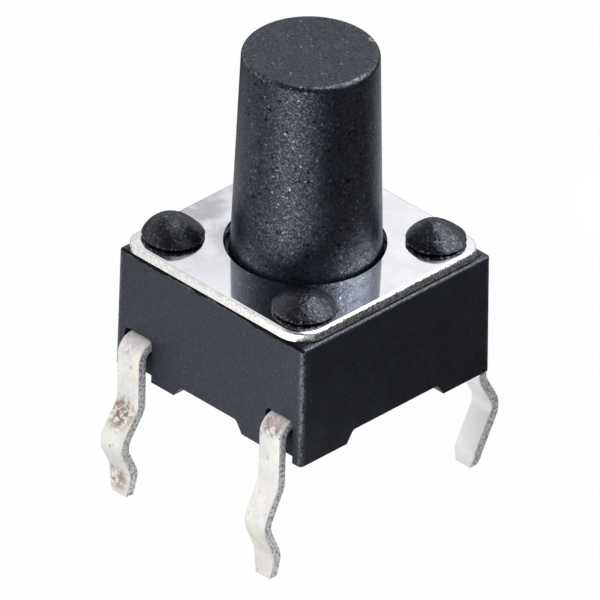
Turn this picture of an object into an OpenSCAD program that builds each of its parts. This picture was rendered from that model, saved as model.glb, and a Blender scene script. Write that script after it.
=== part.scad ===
// Tactile push-button switch with a 6 mm square body, a round stem and four through-hole legs.
//
// The origin is the centre of the face that sits on the board, under the four feet, and +Z points
// along the stem. X runs along each terminal strip, from leg to leg, and Y from strip to strip.
// All lengths are in millimetres.

/* [Housing] */
// Width of the square housing at its top, along X and along Y
body_w = 6.0; // [5.9:0.05:6.4]
// How much further each side reaches at the board, as moulding draft
body_draft = 0.03; // [0.01:0.01:0.06]
// Height of the housing's top face above the board
body_h = 3.15; // [2.9:0.05:3.6]
// Radius of the four upright corners
body_corner_r = 0.12; // [0.06:0.02:0.3]
// Chamfer along the four top edges
body_top_chamfer = 0.05; // [0.02:0.01:0.08]
// Height of the four feet, which is the depth of the cross-shaped relief between them
foot_h = 0.3; // [0.15:0.05:0.5]
// Length of each foot along X, measured on the board
foot_len_x = 1.42; // [1.2:0.02:1.8]
// Length of each foot along Y, measured on the board
foot_len_y = 1.86; // [1.5:0.02:2.1]
// Length of the sloping inner end of each foot
foot_slope = 0.3; // [0.1:0.05:0.4]
// Radius that rounds both ends of that slope
foot_round = 0.12; // [0.05:0.01:0.15]
// Thickness of plastic left between the chamber and each of the four posts
chamber_wall = 0.2; // [0.15:0.01:0.3]

/* [Terminals] */
// Width of the strip that each terminal is stamped from
strip_w = 0.66; // [0.5:0.02:0.76]
// Thickness of that strip
strip_t = 0.24; // [0.2:0.02:0.3]
// Gap between a leg and the side of the housing, measured at the board
leg_gap = 0.1; // [0.06:0.01:0.4]
// Distance from the middle of a strip to the side of the housing beside it, along Y
strip_inset = 0.7; // [0.65:0.05:0.8]
// Height of the top face of the strips where they leave the housing
strip_top_z = 1.05; // [0.9:0.05:1.3]
// Inner radius where a leg bends down out of the housing
leg_bend_r = 0.18; // [0.05:0.01:0.3]
// Inner radius of the bends in the snap-in kink
kink_bend_r = 0.25; // [0.1:0.05:0.4]
// Depth below the board face at which the kink starts
kink_start = 0.6; // [0.4:0.05:0.8]
// How far the kink leans outward
kink_out = 0.52; // [0.3:0.02:0.7]
// Depth of the outermost point of the kink
kink_mid = 1.52; // [1.4:0.02:1.7]
// Depth at which the kink ends
kink_end = 2.36; // [2.2:0.02:2.5]
// How far outside the leg's upper part the kink ends
kink_end_out = 0.1; // [0:0.01:0.2]
// Depth of the tips below the board face
leg_len = 3.1; // [2.9:0.05:3.6]
// How far outside the leg's upper part the tip lies
tip_out = 0.07; // [0:0.01:0.2]
// Width of a leg at its tip, to which it narrows from the end of the kink
tip_w = 0.48; // [0.3:0.02:0.5]
// Radius of the tip's corners
tip_corner_r = 0.08; // [0.02:0.02:0.1]

/* [Contacts] */
// Thickness of the plastic that covers the strips on the floor of the chamber
floor_cover = 0.12; // [0.06:0.02:0.2]
// How far the contact pads stand up out of that floor
pad_proud = 0.03; // [0.02:0.01:0.06]
// Diameter of the centre contact, under the dome
centre_pad_d = 1.4; // [1.0:0.1:1.8]
// Width of the two side contacts and of the arms that lead to them
side_pad_w = 0.66; // [0.5:0.02:0.7]
// Length of the side contacts, which the rim of the dome rests on
side_pad_len = 0.9; // [0.5:0.1:1.2]
// How far the rim of the dome reaches out past the middle of a side contact
side_pad_reach = 0.15; // [0.05:0.05:0.25]

/* [Leg grooves] */
// Gap between a leg and each side of its groove in the housing
groove_gap = 0.12; // [0.05:0.01:0.16]
// Depth of the groove from the housing's top edge line
groove_depth = 0.18; // [0.05:0.01:0.25]
// Gap between the top of the leg and the top of its groove
groove_top_gap = 0.06; // [0.02:0.01:0.15]

/* [Cover plate] */
// How far the square plate's edges lie inside the housing's top edges
plate_inset = 0.1; // [0.04:0.02:0.12]
// Thickness of the plate
plate_t = 0.25; // [0.15:0.05:0.4]
// Radius of the plate's corners
plate_corner_r = 0.55; // [0.3:0.05:0.8]
// Gap all round the stem in its hole in the plate
stem_gap = 0.14; // [0.08:0.02:0.2]

/* [Staked posts] */
// Distance from the middle of a post to the two edges of the plate beside it
stake_inset = 0.78; // [0.7:0.02:0.8]
// Diameter of a post where it passes through the plate
stake_d = 0.9; // [0.7:0.05:1.0]
// Gap between a post and its hole in the plate
stake_gap = 0.05; // [0.02:0.01:0.1]
// How far the melted head spreads over the plate past the post
head_lip = 0.28; // [0.15:0.01:0.29]
// Height of the head above the plate
head_h = 0.4; // [0.3:0.02:0.5]
// Height of the head's rim, at its widest
head_rim_h = 0.16; // [0.1:0.02:0.2]
// Radius of the rim's lower edge, next to the plate
head_rim_r = 0.08; // [0.02:0.02:0.08]

/* [Plunger] */
// Height of the top of the stem above the board
overall_h = 8.5; // [5:0.5:13]
// How far the flange reaches out past the stem, under the cover plate
flange_lip = 0.46; // [0.36:0.02:0.6]
// How much narrower each side of the stem is at its top than at the cover plate
stem_draft = 0.15; // [0:0.01:0.3]
// Radius that breaks the edge of the stem's top
stem_edge_r = 0.06; // [0.02:0.02:0.2]
// Gap all round the flange in the chamber
flange_gap = 0.15; // [0.08:0.01:0.2]
// Thickness of the flange
flange_t = 0.7; // [0.5:0.05:0.8]
// Diameter of the nub that presses the dome
nub_d = 1.6; // [1.0:0.1:2.0]
// Travel of the plunger until the dome meets the centre contact
travel = 0.25; // [0.15:0.05:0.35]

/* [Snap dome] */
// Gap all round the dome in the chamber
dome_gap = 0.25; // [0.15:0.05:0.3]
// Thickness of the dome's sheet
dome_t = 0.06; // [0.04:0.01:0.08]

/* [Clearances] */
// Gap left between the flange and the plate, and between the nub and the dome
play = 0.03; // [0.02:0.01:0.05]
// Gap left over the centre contact when the plunger is right down
contact_gap = 0.02; // [0.01:0.01:0.04]

/* [Hidden] */
$fn = 96;
// How far a cut runs past the face that it opens
past = 0.5;

body_base_w = body_w + 2 * body_draft;
plate_w = body_w - 2 * plate_inset;
stake_pitch = plate_w - 2 * stake_inset;
stake_hole_d = stake_d + 2 * stake_gap;
head_d = stake_d + 2 * head_lip;

// The chamber is as wide as the posts allow, and what it holds follows it
chamber_d = sqrt(2) * stake_pitch - stake_d - 2 * chamber_wall;
flange_d = chamber_d - 2 * flange_gap;
stem_base_d = flange_d - 2 * flange_lip;
stem_top_d = stem_base_d - 2 * stem_draft;
stem_hole_d = stem_base_d + 2 * stem_gap;
dome_d = chamber_d - 2 * dome_gap;

leg_span = body_base_w + 2 * leg_gap + strip_t;
strip_pitch = body_w - 2 * strip_inset;
side_pad_pitch = dome_d - 2 * side_pad_reach;

strip_bottom_z = strip_top_z - strip_t;
strip_mid_z = strip_top_z - strip_t / 2;
floor_z = strip_top_z + floor_cover;
pad_top_z = floor_z + pad_proud;
plate_top_z = body_h + plate_t;
flange_top_z = body_h - play;
flange_bottom_z = flange_top_z - flange_t;
dome_h = travel + dome_t + contact_gap;
nub_bottom_z = pad_top_z + dome_h + play;

// Centre line of one leg, from the corner where it turns down to its tip
leg_path = [
    [leg_span / 2, strip_mid_z],
    [leg_span / 2, -kink_start],
    [leg_span / 2 + kink_out, -kink_mid],
    [leg_span / 2 + kink_end_out, -kink_end],
    [leg_span / 2 + tip_out, -leg_len]
];
leg_bends = [leg_bend_r, kink_bend_r, kink_bend_r, kink_bend_r, 0];

function unit(v) = v / norm(v);

function reversed(list) = [for (i = [len(list) - 1:-1:0]) list[i]];

// Mirror image of a list of points across the second axis
function mirrored(points) = [for (p = points) [-p.x, p.y]];

// Points of the arc that rounds the corner b, between its neighbours a and c
function corner_arc(a, b, c, r, steps = 8) =
    let (
        u = unit(a - b),
        v = unit(c - b),
        half = acos(u * v) / 2,
        centre = b + unit(u + v) * r / sin(half),
        first = b + u * r / tan(half) - centre,
        last = b + v * r / tan(half) - centre,
        start = atan2(first.y, first.x),
        turn = (atan2(last.y, last.x) - start + 540) % 360 - 180
    )
    r == 0 ? [b] : [for (i = [0:steps]) centre + r * [cos(start + turn * i / steps),
                                                      sin(start + turn * i / steps)]];

// Outline through the points, each corner rounded to its own radius
function rounded(points, radii) =
    let (n = len(points))
    [for (i = [0:n - 1]) each corner_arc(points[(i + n - 1) % n], points[i],
                                         points[(i + 1) % n], radii[i])];

// Left-hand normal of the line from a to b
function left_of(a, b) = let (d = unit(b - a)) [-d.y, d.x];

// Point i of a path, moved sideways by the distance d, to the left where d is positive
function beside(path, i, d) =
    let (
        n = len(path),
        before = left_of(path[max(i - 1, 0)], path[max(i, 1)]),
        after = left_of(path[min(i, n - 2)], path[min(i + 1, n - 1)]),
        middle = unit(before + after)
    )
    path[i] + middle * d / (middle * before);

// True where the path turns left at point i
function turns_left(path, i) =
    let (a = path[i] - path[i - 1], b = path[i + 1] - path[i])
    a.x * b.y - a.y * b.x > 0;

// Outline of a bent strip of thickness t along a path. The radii are those of the inside of each bend
function strip_outline(path, radii, t) =
    let (
        n = len(path),
        bends = [for (i = [1:n - 2]) i],
        left = [for (i = [0:n - 1]) beside(path, i, t / 2)],
        right = [for (i = [0:n - 1]) beside(path, i, -t / 2)],
        left_r = [0, for (i = bends) radii[i] + (turns_left(path, i) ? 0 : t), 0],
        right_r = [0, for (i = bends) radii[i] + (turns_left(path, i) ? t : 0), 0]
    )
    rounded(concat(left, reversed(right)), concat(left_r, reversed(right_r)));

// Extrudes a shape drawn in X and Z along Y, centred on Y = 0
module along_y(length) {
    rotate([90, 0, 0])
        translate([0, 0, -length / 2])
            linear_extrude(length)
                children();
}

// Extrudes a shape drawn in Y and Z along X, centred on X = 0
module along_x(length) {
    rotate([0, 0, 90])
        along_y(length)
            children();
}

module rounded_square(width, r) {
    translate([-width / 2, -width / 2])
        polygon(rounded([[0, 0], [width, 0], [width, width], [0, width]], [r, r, r, r]));
}

module at_stakes() {
    for (x = [-1, 1], y = [-1, 1])
        translate([x * stake_pitch / 2, y * stake_pitch / 2])
            children();
}

// Side view of the housing: drafted sides, chamfered along the top
module housing_profile() {
    top = body_w / 2;
    base = body_base_w / 2;
    chamfer = body_top_chamfer;
    polygon([[-base, 0], [base, 0], [top, body_h - chamfer], [top - chamfer, body_h],
             [chamfer - top, body_h], [-top, body_h - chamfer]]);
}

// Relief between two feet: open at the board, with sloping ends and rounded steps
module relief_profile(foot_len) {
    wide = body_base_w / 2 - foot_len;
    narrow = wide - foot_slope;
    far = wide + past;
    points = [[-far, -past], [far, -past], [far, 0], [wide, 0], [narrow, foot_h],
              [-narrow, foot_h], [-wide, 0], [-far, 0]];
    polygon(rounded(points, [0, 0, 0, foot_round, foot_round, foot_round, foot_round, 0]));
}

// Post melted over the plate: straight through its hole, then a low domed head
module staked_post() {
    head_r = head_d / 2;
    crown_h = head_h - head_rim_h;
    crown_r = (head_r * head_r + crown_h * crown_h) / (2 * crown_h);
    translate([0, 0, body_h - past])
        cylinder(d = stake_d, h = plate_t + past);
    translate([0, 0, plate_top_z])
        rotate_extrude() {
            polygon(rounded([[0, 0], [head_r, 0], [head_r, head_rim_h], [0, head_rim_h]],
                            [0, head_rim_r, 0, 0]));
            translate([0, head_rim_h])
                intersection() {
                    translate([0, crown_h - crown_r])
                        circle(r = crown_r);
                    square([head_r, crown_h]);
                }
        }
}

// Grooves in the sides of the housing that the two legs of one strip stand in
module leg_grooves(strip_y) {
    width = strip_w + 2 * groove_gap;
    top = strip_top_z + groove_top_gap;
    back = body_w / 2 - groove_depth;
    for (side = [-1, 1])
        translate([side * (back + past / 2), strip_y, (top - past) / 2])
            cube([past, width, top + past], center = true);
}

// Front view of a leg: as wide as the strip, narrowed to its tip
module leg_face() {
    wide = strip_w / 2;
    narrow = tip_w / 2;
    points = [[-wide, strip_top_z + past], [-wide, -kink_end], [-narrow, -leg_len],
              [narrow, -leg_len], [wide, -kink_end], [wide, strip_top_z + past]];
    polygon(rounded(points, [0, 0, tip_corner_r, tip_corner_r, 0, 0]));
}

// Bent strip with its two legs, without its contacts
module strip_and_legs(strip_y) {
    path = concat(reversed(mirrored(leg_path)), leg_path);
    radii = concat(reversed(leg_bends), leg_bends);
    reach = leg_span + 2 * kink_out + 2 * past;
    translate([0, strip_y, 0])
        intersection() {
            along_y(strip_w)
                polygon(strip_outline(path, radii, strip_t));
            along_x(reach)
                leg_face();
        }
}

// Part of a terminal that lies level with its strip, under the floor of the chamber
module flat_lead() {
    translate([0, 0, strip_bottom_z])
        linear_extrude(strip_t)
            children();
}

// Part of a terminal that is coined up through the floor as a contact
module raised_pad() {
    translate([0, 0, strip_bottom_z])
        linear_extrude(pad_top_z - strip_bottom_z)
            children();
}

module centre_strip() {
    strip_and_legs(strip_pitch / 2);
    flat_lead()
        translate([-strip_w / 2, 0])
            square([strip_w, strip_pitch / 2]);
    raised_pad()
        circle(d = centre_pad_d);
}

module side_strip() {
    strip_and_legs(-strip_pitch / 2);
    for (side = [-1, 1])
        translate([side * side_pad_pitch / 2 - side_pad_w / 2, 0]) {
            flat_lead()
                translate([0, -strip_pitch / 2])
                    square([side_pad_w, strip_pitch / 2]);
            raised_pad()
                translate([0, -side_pad_len / 2])
                    square([side_pad_w, side_pad_len]);
        }
}

module housing() {
    color([0.13, 0.14, 0.16]) {
        difference() {
            intersection() {
                linear_extrude(body_h)
                    rounded_square(body_base_w, body_corner_r);
                along_y(body_base_w)
                    housing_profile();
                along_x(body_base_w)
                    housing_profile();
            }
            along_y(body_base_w + past)
                relief_profile(foot_len_x);
            along_x(body_base_w + past)
                relief_profile(foot_len_y);
            translate([0, 0, floor_z])
                cylinder(d = chamber_d, h = body_h);
            leg_grooves(strip_pitch / 2);
            leg_grooves(-strip_pitch / 2);
            centre_strip();
            side_strip();
        }
        at_stakes()
            staked_post();
    }
}

module cover_plate() {
    color([0.85, 0.86, 0.9])
        translate([0, 0, body_h])
            linear_extrude(plate_t)
                difference() {
                    rounded_square(plate_w, plate_corner_r);
                    circle(d = stem_hole_d);
                    at_stakes()
                        circle(d = stake_hole_d);
                }
}

// Half section of the plunger: nub, flange and tapered stem
module plunger_section() {
    outline = [[0, nub_bottom_z], [nub_d / 2, nub_bottom_z], [nub_d / 2, flange_bottom_z],
               [flange_d / 2, flange_bottom_z], [flange_d / 2, flange_top_z],
               [stem_base_d / 2, flange_top_z], [stem_base_d / 2, plate_top_z],
               [stem_top_d / 2, overall_h], [0, overall_h]];
    polygon(rounded(outline, [0, 0, 0, 0, 0, 0, 0, stem_edge_r, 0]));
}

module plunger() {
    color([0.15, 0.16, 0.18])
        rotate_extrude()
            plunger_section();
}

// Shallow cap of constant thickness that stands on its rim
module snap_dome() {
    rise = dome_h - dome_t;
    inner_r = (pow(dome_d / 2, 2) + rise * rise) / (2 * rise);
    color([0.78, 0.78, 0.76])
        translate([0, 0, pad_top_z])
            rotate_extrude()
                intersection() {
                    translate([0, rise - inner_r])
                        difference() {
                            circle(r = inner_r + dome_t, $fn = 360);
                            circle(r = inner_r, $fn = 360);
                        }
                    square([dome_d / 2, dome_h + past]);
                }
}

module centre_contact_terminal() {
    color([0.87, 0.86, 0.84])
        centre_strip();
}

module side_contact_terminal() {
    color([0.87, 0.86, 0.84])
        side_strip();
}

housing();
cover_plate();
plunger();
snap_dome();
centre_contact_terminal();
side_contact_terminal();
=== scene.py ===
import math

import bmesh
import bpy
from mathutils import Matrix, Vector


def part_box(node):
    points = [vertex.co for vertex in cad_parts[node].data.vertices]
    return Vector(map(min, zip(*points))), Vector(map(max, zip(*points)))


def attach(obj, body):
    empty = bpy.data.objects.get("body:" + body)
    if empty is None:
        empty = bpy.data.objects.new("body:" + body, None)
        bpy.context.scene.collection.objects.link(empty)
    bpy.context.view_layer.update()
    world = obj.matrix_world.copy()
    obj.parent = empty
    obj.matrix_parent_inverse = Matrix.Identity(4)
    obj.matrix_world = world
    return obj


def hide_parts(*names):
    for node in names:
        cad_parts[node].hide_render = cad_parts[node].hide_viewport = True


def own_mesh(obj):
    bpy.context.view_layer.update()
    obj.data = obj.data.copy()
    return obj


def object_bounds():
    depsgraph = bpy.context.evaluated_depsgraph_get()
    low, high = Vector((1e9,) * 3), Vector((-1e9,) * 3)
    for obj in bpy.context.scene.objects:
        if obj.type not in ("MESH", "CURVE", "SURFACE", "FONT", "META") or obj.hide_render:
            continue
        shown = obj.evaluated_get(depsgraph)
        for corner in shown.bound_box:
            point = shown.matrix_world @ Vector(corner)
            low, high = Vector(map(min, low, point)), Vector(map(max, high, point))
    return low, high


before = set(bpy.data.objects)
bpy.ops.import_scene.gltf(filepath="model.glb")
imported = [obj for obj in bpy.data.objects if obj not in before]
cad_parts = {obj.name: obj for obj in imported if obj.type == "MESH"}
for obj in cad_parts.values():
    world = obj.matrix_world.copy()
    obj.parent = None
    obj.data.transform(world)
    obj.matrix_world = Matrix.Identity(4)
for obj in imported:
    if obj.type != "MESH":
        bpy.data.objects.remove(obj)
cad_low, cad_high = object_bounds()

bpy.ops.object.select_all(action="DESELECT")


# ---------------------------------------------------------------------------------------------
# Terminals. Two strips stamped from tin-plated brass sheet and moulded into the housing. Each has
# a leg at both ends, bent down and kinked so that it springs into the board's holes, and inner
# arms that end in the contacts under the dome. The four legs are no longer bent quite alike.
# ---------------------------------------------------------------------------------------------

MM = 0.001  # pieces are drawn in millimetres, and finish_piece brings each one to metres
close = 0.01  # what lies nearer than this to a face's height, or to its end, is on it
aligned = 0.9  # how well a direction has to follow an axis, where 1 is exactly
sharp = 40  # an edge that turns by more degrees than this is sharp
nearly_square = 60  # and one that turns by more than this is close to square

strip_w = 0.66
strip_t = 0.24
strip_top_z = 1.05
strip_mid_z = strip_top_z - strip_t / 2
strip_bottom_z = strip_top_z - strip_t
strip_y = 2.3
strip_straight_end = 2.6
seam = 0.0005  # corners nearer to each other than this are one, where bodies are joined or cut

dome_low, dome_high = (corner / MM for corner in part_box("snap_dome"))
pad_top_z = dome_low.z
centre_pad_r = 0.7
side_pad_w = 0.66
side_pad_inset = 0.15
side_pad_x = dome_high.x - side_pad_inset
side_pad_len = 0.9

# Bend radii, which are drawn along the middle of the strip
top_bend_inner_r = 0.2
kink_bend_inner_r = 0.4
top_bend_r = top_bend_inner_r + strip_t / 2
kink_bend_r = kink_bend_inner_r + strip_t / 2
bend_steps = 10
tip_w = 0.48
strip_edge_r = 0.035

# The left leg is a little wider than its strip, and steps sideways where it leaves it
left_leg_w = 0.7
left_leg_shift = -0.07
leg_step = 0.06

# Centre line of each leg, as distance from the middle and height: the corner where it turns down,
# the start of its kink, the knee, the ankle and the tip
leg_near = [(3.21, strip_mid_z), (3.22, -0.64), (3.68, -1.6), (3.3, -2.44), (3.33, -3.1)]
leg_left = [(3.29, strip_mid_z), (3.28, -0.66), (3.86, -1.5), (3.48, -2.28), (3.51, -2.96)]
leg_right = [(3.24, strip_mid_z), (3.25, -0.56), (3.75, -1.45), (3.16, -2.6), (3.1, -2.92)]
leg_far = [(3.25, strip_mid_z), (3.25, -0.6), (3.75, -1.52), (3.35, -2.36), (3.32, -3.1)]


def add_box(name, low, high):
    """Adds a box between two corners, with its place in its mesh."""
    low, high = Vector(low), Vector(high)
    bpy.ops.mesh.primitive_cube_add(size=1, location=(low + high) / 2, scale=high - low)
    bpy.ops.object.transform_apply()
    bpy.context.object.name = name
    return bpy.context.object


def add_round(name, radius, low_z, high_z, x=0, y=0, sides=96):
    """Adds an upright cylinder between two heights, with its place in its mesh."""
    bpy.ops.mesh.primitive_cylinder_add(
        vertices=sides,
        radius=radius,
        depth=high_z - low_z,
        location=(x, y, (low_z + high_z) / 2),
    )
    bpy.ops.object.transform_apply()
    bpy.context.object.name = name
    return bpy.context.object


def pick(kind, test):
    """Selects, in edit mode, only the faces or edges whose middle and direction pass a test."""
    bpy.ops.mesh.select_mode(type=kind)
    bpy.ops.mesh.select_all(action="DESELECT")
    mesh = bmesh.from_edit_mesh(bpy.context.edit_object.data)
    if kind == "FACE":
        for face in mesh.faces:
            face.select = test(face.calc_center_median(), face.normal)
    else:
        for edge in mesh.edges:
            a, b = (corner.co for corner in edge.verts)
            edge.select = test((a + b) / 2, (b - a).normalized())
    mesh.select_flush_mode()
    bmesh.update_edit_mesh(bpy.context.edit_object.data)


def extrude(step):
    """Extrudes the selected faces by a step."""
    bpy.ops.mesh.extrude_region_move(TRANSFORM_OT_translate={"value": tuple(step)})


def draw_strip(path, radii):
    """Draws the selected end face along a path: straight between its corners, round at each one."""
    here = path[0]
    for before, corner, after, radius in zip(path, path[1:], path[2:], radii):
        into = (corner - before).normalized()
        out = (after - corner).normalized()
        turn = into.angle(out)
        reach = radius * math.tan(turn / 2)
        bend_start = corner - into * reach
        inside = (out - into * into.dot(out)).normalized()
        extrude(bend_start - here)
        bpy.ops.mesh.spin(
            steps=bend_steps,
            angle=-turn,
            center=bend_start + inside * radius,
            axis=into.cross(out).normalized(),
        )
        here = corner + out * reach
    extrude(path[-1] - here)


def add_leg(side, y, leg, leg_w, shift):
    """Grows one leg out of the strip's end on that side, and narrows and squares its tip."""
    path = [Vector((side * x, y + shift, z)) for x, z in [(strip_straight_end, strip_mid_z)] + leg]
    end = strip_straight_end - close
    pick("FACE", lambda middle, normal: middle.x * side > end and normal.x * side > aligned)
    if shift:
        step = Vector((side * leg_step, 0, 0))
        extrude(step + Vector((0, shift, 0)))
        path[0] += step
        bpy.ops.transform.resize(value=(1, leg_w / strip_w, 1), center_override=path[0])
    draw_strip(path, [top_bend_r] + [kink_bend_r] * 3)
    bpy.ops.transform.resize(value=(1, tip_w / leg_w, 0), center_override=path[-1])


def apply_modifier(piece, modifier):
    """Makes what a modifier does a part of the piece's mesh."""
    bpy.context.view_layer.objects.active = piece
    bpy.ops.object.modifier_apply(modifier=modifier.name)


def combine(piece, tool, operation):
    """Joins a tool body to a piece, or cuts it out, and closes the seam."""
    modifier = piece.modifiers.new("combine", "BOOLEAN")
    modifier.operation = operation
    modifier.object = tool
    apply_modifier(piece, modifier)
    bpy.data.objects.remove(tool)
    bpy.ops.object.select_all(action="DESELECT")
    bpy.ops.object.mode_set(mode="EDIT")
    bpy.ops.mesh.select_all(action="SELECT")
    bpy.ops.mesh.remove_doubles(threshold=seam)
    bpy.ops.mesh.dissolve_degenerate(threshold=seam)
    bpy.ops.object.mode_set(mode="OBJECT")


def round_edges(piece, width, segments, angle):
    """Rounds every edge that is sharper than an angle in degrees."""
    modifier = piece.modifiers.new("round", "BEVEL")
    modifier.width = width
    modifier.segments = segments
    modifier.limit_method = "ANGLE"
    modifier.angle_limit = math.radians(angle)
    modifier.miter_outer = "MITER_ARC"
    apply_modifier(piece, modifier)


def ripple(piece, size, depth):
    """Moves the surface in and out a little, in lumps of a size."""
    lumps = bpy.data.textures.new(piece.name + "_lumps", "CLOUDS")
    lumps.noise_scale = size
    modifier = piece.modifiers.new("ripple", "DISPLACE")
    modifier.texture = lumps
    modifier.strength = depth
    apply_modifier(piece, modifier)


def finish_piece(piece, body, slot, *nodes):
    """Brings a piece to metres, smooths it, and puts it on its body in place of its CAD nodes."""
    bpy.ops.object.select_all(action="DESELECT")
    piece.select_set(True)
    bpy.context.view_layer.objects.active = piece
    piece.scale = (MM, MM, MM)
    bpy.ops.object.transform_apply()
    bpy.ops.object.shade_smooth_by_angle(angle=math.radians(sharp))
    flats = piece.modifiers.new("flats", "WEIGHTED_NORMAL")
    flats.keep_sharp = True
    apply_modifier(piece, flats)
    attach(piece, body)
    if nodes:
        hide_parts(*nodes)


def coat(piece, material, test=None):
    """Gives a piece a material, all over or only on the faces that pass a test."""
    piece.data.materials.append(material)
    slot = len(piece.data.materials) - 1
    for face in piece.data.polygons:
        if test is None or test(face.center, face.normal):
            face.material_index = slot


def add_node(tree, kind, values=None, **settings):
    """Adds a shader node with its settings, and with a number or a feeding socket for each input."""
    made = tree.nodes.new("ShaderNode" + kind)
    for name, setting in settings.items():
        setattr(made, name, setting)
    for name, value in (values or {}).items():
        if isinstance(value, bpy.types.NodeSocket):
            tree.links.new(value, made.inputs[name])
        else:
            made.inputs[name].default_value = value
    return made


def add_ramp(tree, value, low, high, low_out=0.0, high_out=1.0):
    """Spreads the values between two bounds over two others, with soft ends."""
    made = add_node(
        tree,
        "MapRange",
        {"Value": value, "From Min": low, "From Max": high, "To Min": low_out, "To Max": high_out},
        interpolation_type="SMOOTHSTEP",
    )
    return made.outputs["Result"]


def add_math(tree, operation, a, b=0.0):
    """Works out one sum from numbers or feeding sockets."""
    return add_node(tree, "Math", {0: a, 1: b}, operation=operation).outputs["Value"]


def add_mix(tree, factor, a, b):
    """Goes from one colour to another as a mask goes from 0 to 1."""
    made = add_node(tree, "Mix", {"Factor": factor}, data_type="RGBA")
    for socket, colour in ((made.inputs[6], a), (made.inputs[7], b)):
        if isinstance(colour, bpy.types.NodeSocket):
            tree.links.new(colour, socket)
        else:
            socket.default_value = (*colour, 1)
    return made.outputs[2]


def add_place(tree):
    """The place on the piece, in millimetres."""
    coordinates = add_node(tree, "TexCoord")
    place = {0: coordinates.outputs["Object"], "Scale": 1 / MM}
    return add_node(tree, "VectorMath", place, operation="SCALE").outputs["Vector"]


def new_material(name):
    """A material with a Principled BSDF and its output, and the place on the piece."""
    material = bpy.data.materials.new(name)
    material.use_nodes = True
    tree = material.node_tree
    tree.nodes.clear()
    skin = add_node(tree, "BsdfPrincipled")
    output = add_node(tree, "OutputMaterial")
    tree.links.new(skin.outputs["BSDF"], output.inputs["Surface"])
    return material, tree, skin, add_place(tree)


def new_group(name, inputs, outputs):
    """A shader node group with named sockets, and its two ends."""
    tree = bpy.data.node_groups.new(name, "ShaderNodeTree")
    for socket, kind in inputs.items():
        tree.interface.new_socket(socket, in_out="INPUT", socket_type="NodeSocket" + kind)
    for socket, kind in outputs.items():
        tree.interface.new_socket(socket, in_out="OUTPUT", socket_type="NodeSocket" + kind)
    start = tree.nodes.new("NodeGroupInput")
    end = tree.nodes.new("NodeGroupOutput")
    return tree, start.outputs, end.inputs


def use_group(tree, group, values):
    """Places a group in a material with its own values, and gives its outputs."""
    made = tree.nodes.new("ShaderNodeGroup")
    made.node_tree = group
    for name, value in values.items():
        if isinstance(value, bpy.types.NodeSocket):
            tree.links.new(value, made.inputs[name])
        else:
            made.inputs[name].default_value = value
    return made.outputs


def wire(tree, skin, feeds):
    """Feeds the inputs of a Principled BSDF."""
    for name, socket in feeds.items():
        tree.links.new(socket, skin.inputs[name])


# Handled metal: soft smudges, fine scratches in all directions, small dark marks, and a fine grain
handled_metal, given, result = new_group(
    "handled_metal",
    {"Place": "Vector", "Smudge Size": "Float", "Scratch Amount": "Float"},
    {"Smudge": "Float", "Scratches": "Float", "Marks": "Float", "Height": "Float"},
)
smudge = add_node(
    handled_metal,
    "TexNoise",
    {
        "Vector": given["Place"],
        "Scale": add_math(handled_metal, "DIVIDE", 1.0, given["Smudge Size"]),
        "Detail": 4.0,
        "Roughness": 0.6,
    },
)
scratch_field = add_node(
    handled_metal, "TexNoise", {"Vector": given["Place"], "Scale": 7.0, "Detail": 2.0, "Distortion": 1.2}
)
scratch_line = add_math(
    handled_metal, "ABSOLUTE", add_math(handled_metal, "SUBTRACT", scratch_field.outputs["Fac"], 0.5)
)
scratch_line = add_ramp(handled_metal, scratch_line, 0.0, 0.012, 1.0, 0.0)
mark_field = add_node(
    handled_metal, "TexNoise", {"Vector": given["Place"], "Scale": 5.0, "Detail": 5.0, "Roughness": 0.7}
)
grain = add_node(handled_metal, "TexNoise", {"Vector": given["Place"], "Scale": 26.0, "Detail": 3.0})
handled_metal.links.new(smudge.outputs["Fac"], result["Smudge"])
handled_metal.links.new(
    add_math(handled_metal, "MULTIPLY", scratch_line, given["Scratch Amount"]), result["Scratches"]
)
handled_metal.links.new(add_ramp(handled_metal, mark_field.outputs["Fac"], 0.61, 0.68), result["Marks"])
handled_metal.links.new(grain.outputs["Fac"], result["Height"])


def add_patch(tree, place, centre, full, reach):
    """A soft round mask about a place: 1 within one distance of it and 0 beyond another."""
    away = add_node(tree, "VectorMath", {0: place, 1: centre}, operation="DISTANCE")
    return add_ramp(tree, away.outputs["Value"], full, reach, 1.0, 0.0)


# Tin plate on the faces of the strip: off-white, satin, with grey marks, and brown scuffs where the
# tool that bent the legs has rubbed through it
tin_plate, tree, skin, place = new_material("tin_plate")
worn = use_group(tree, handled_metal, {"Place": place, "Smudge Size": 0.5, "Scratch Amount": 0.3})
tin_tone = add_mix(
    tree, add_ramp(tree, worn["Smudge"], 0.35, 0.7), (0.82, 0.8, 0.765), (0.91, 0.905, 0.9)
)
tin_tone = add_mix(tree, add_ramp(tree, worn["Height"], 0.3, 0.6, 0.3, 0.0), tin_tone, (0.55, 0.53, 0.55))
tin_tone = add_mix(tree, worn["Scratches"], tin_tone, (0.5, 0.46, 0.42))
tin_tone = add_mix(tree, worn["Marks"], tin_tone, (0.25, 0.23, 0.22))
tarnish = add_node(tree, "TexNoise", {"Vector": place, "Scale": 2.3, "Detail": 3.0}).outputs["Fac"]
tin_tone = add_mix(tree, add_ramp(tree, tarnish, 0.5, 0.62, 0, 0.7), tin_tone, (0.93, 0.9, 0.78))
scuff_field = add_node(
    tree, "TexNoise", {"Vector": place, "Scale": 7.0, "Detail": 6.0, "Roughness": 0.7, "Distortion": 0.3}
)
rubbed = add_ramp(tree, scuff_field.outputs["Fac"], 0.4, 0.56)

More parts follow.
